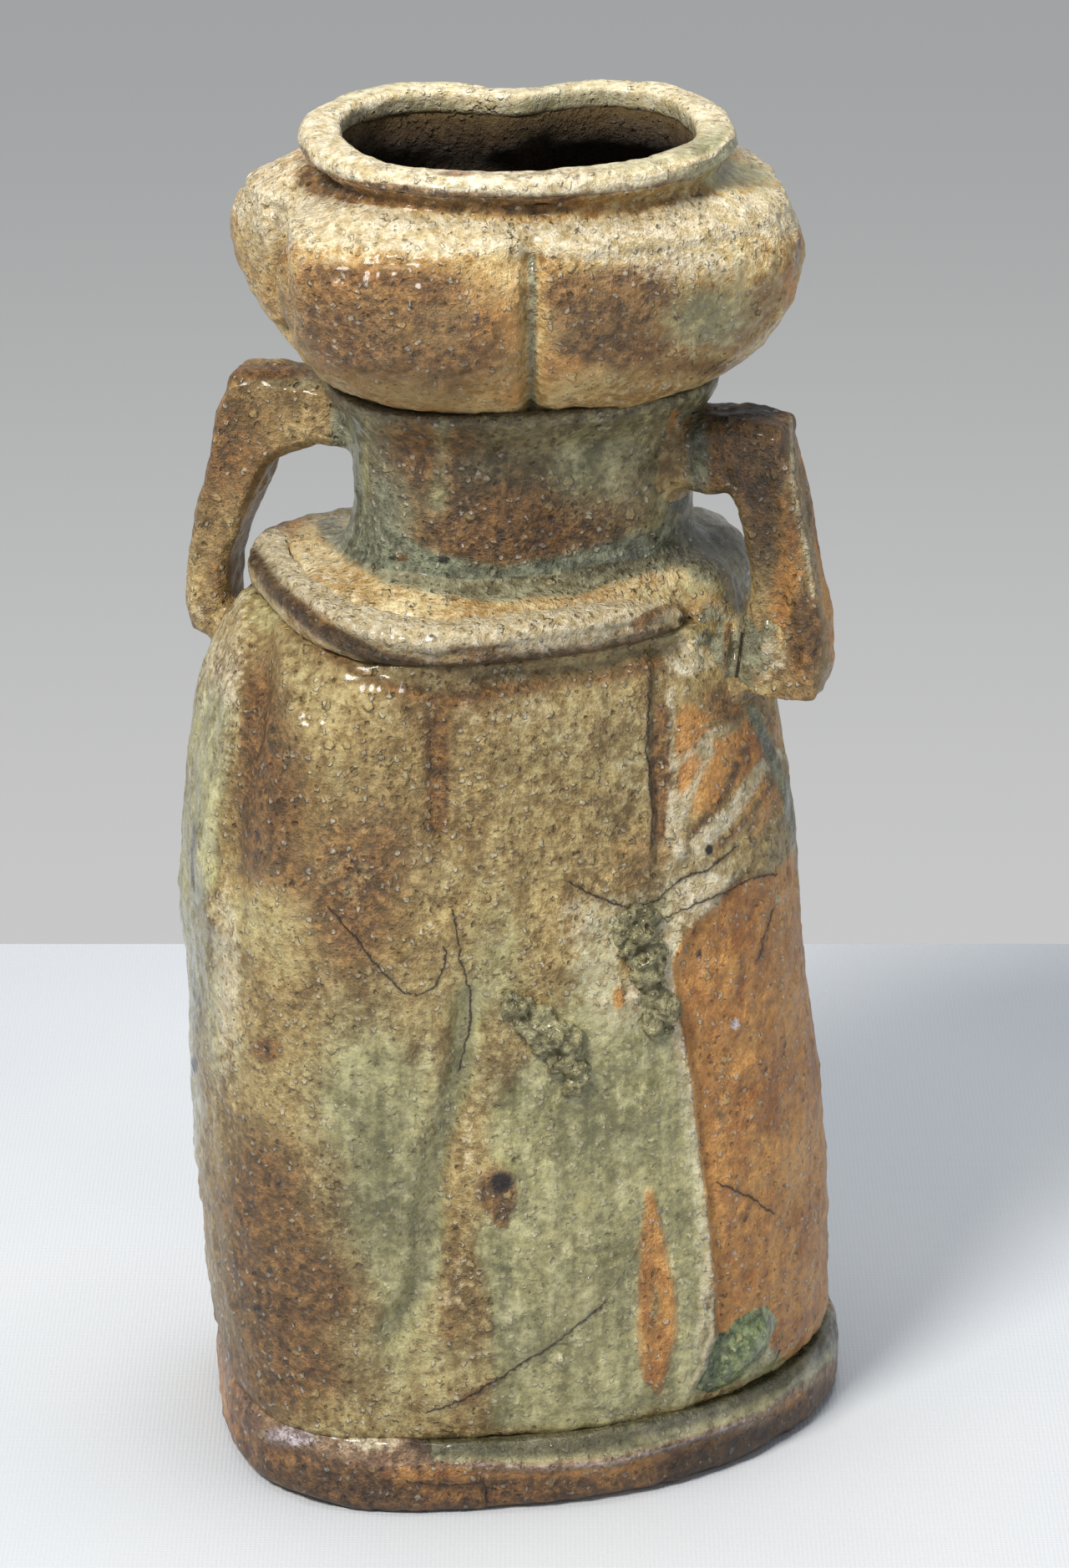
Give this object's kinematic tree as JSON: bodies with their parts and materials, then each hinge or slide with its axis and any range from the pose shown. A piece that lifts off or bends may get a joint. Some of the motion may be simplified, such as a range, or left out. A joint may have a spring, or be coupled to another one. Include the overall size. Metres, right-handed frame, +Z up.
{
  "type": "lugged flower vase",
  "caption": "Hand-built wood-fired flower vase with a foot slab, leaning four-sided body, rolled shoulder, short neck, lobed mouth bowl, thick lip and bent slab lugs.",
  "frame": {"origin": "middle of the foot's underside, where the vase stands", "axes": "+Z up along the vase, +X to the right and -Y towards the viewer of the picture, across the broad front"},
  "size_m": [0.1392, 0.1085, 0.2825],
  "materials": {
    "foot_clay": "bare scorched stoneware with runs of ash glaze over its top edge",
    "wall_clay": "stoneware with natural green and ochre ash glaze, satin to glassy",
    "deck_clay": "stoneware with grey-green ash glaze",
    "roll_clay": "ochre and cream stoneware, sparkling dry ash on its crest",
    "neck_clay": "brown-grey stoneware with blue-green glaze pooled at its base",
    "bowl_clay": "granular dry ash, cream and scorched brown",
    "lip_clay": "cream and grey-green ash glaze, scorched brown under its edge",
    "left_lug_clay": "granular brown-ochre stoneware",
    "right_lug_clay": "orange-brown stoneware with dark glassy beads",
    "upper_grit": "rough crumbly grey-green kiln grit",
    "lower_grit": "rough crumbly grey-green kiln grit",
    "pool_glass": "thick glassy green ash glaze"
  },
  "bodies": {
    "root": {"foot_slab": "foot_clay", "body_wall": "wall_clay", "shoulder_deck": "deck_clay", "shoulder_roll": "roll_clay", "neck_wall": "neck_clay", "mouth_bowl": "bowl_clay", "lip_ring": "lip_clay", "lug_left": "left_lug_clay", "lug_right": "right_lug_clay", "kiln_scab_upper": "upper_grit", "kiln_scab_lower": "lower_grit", "glass_pool": "pool_glass"}
  },
  "joints": []
}
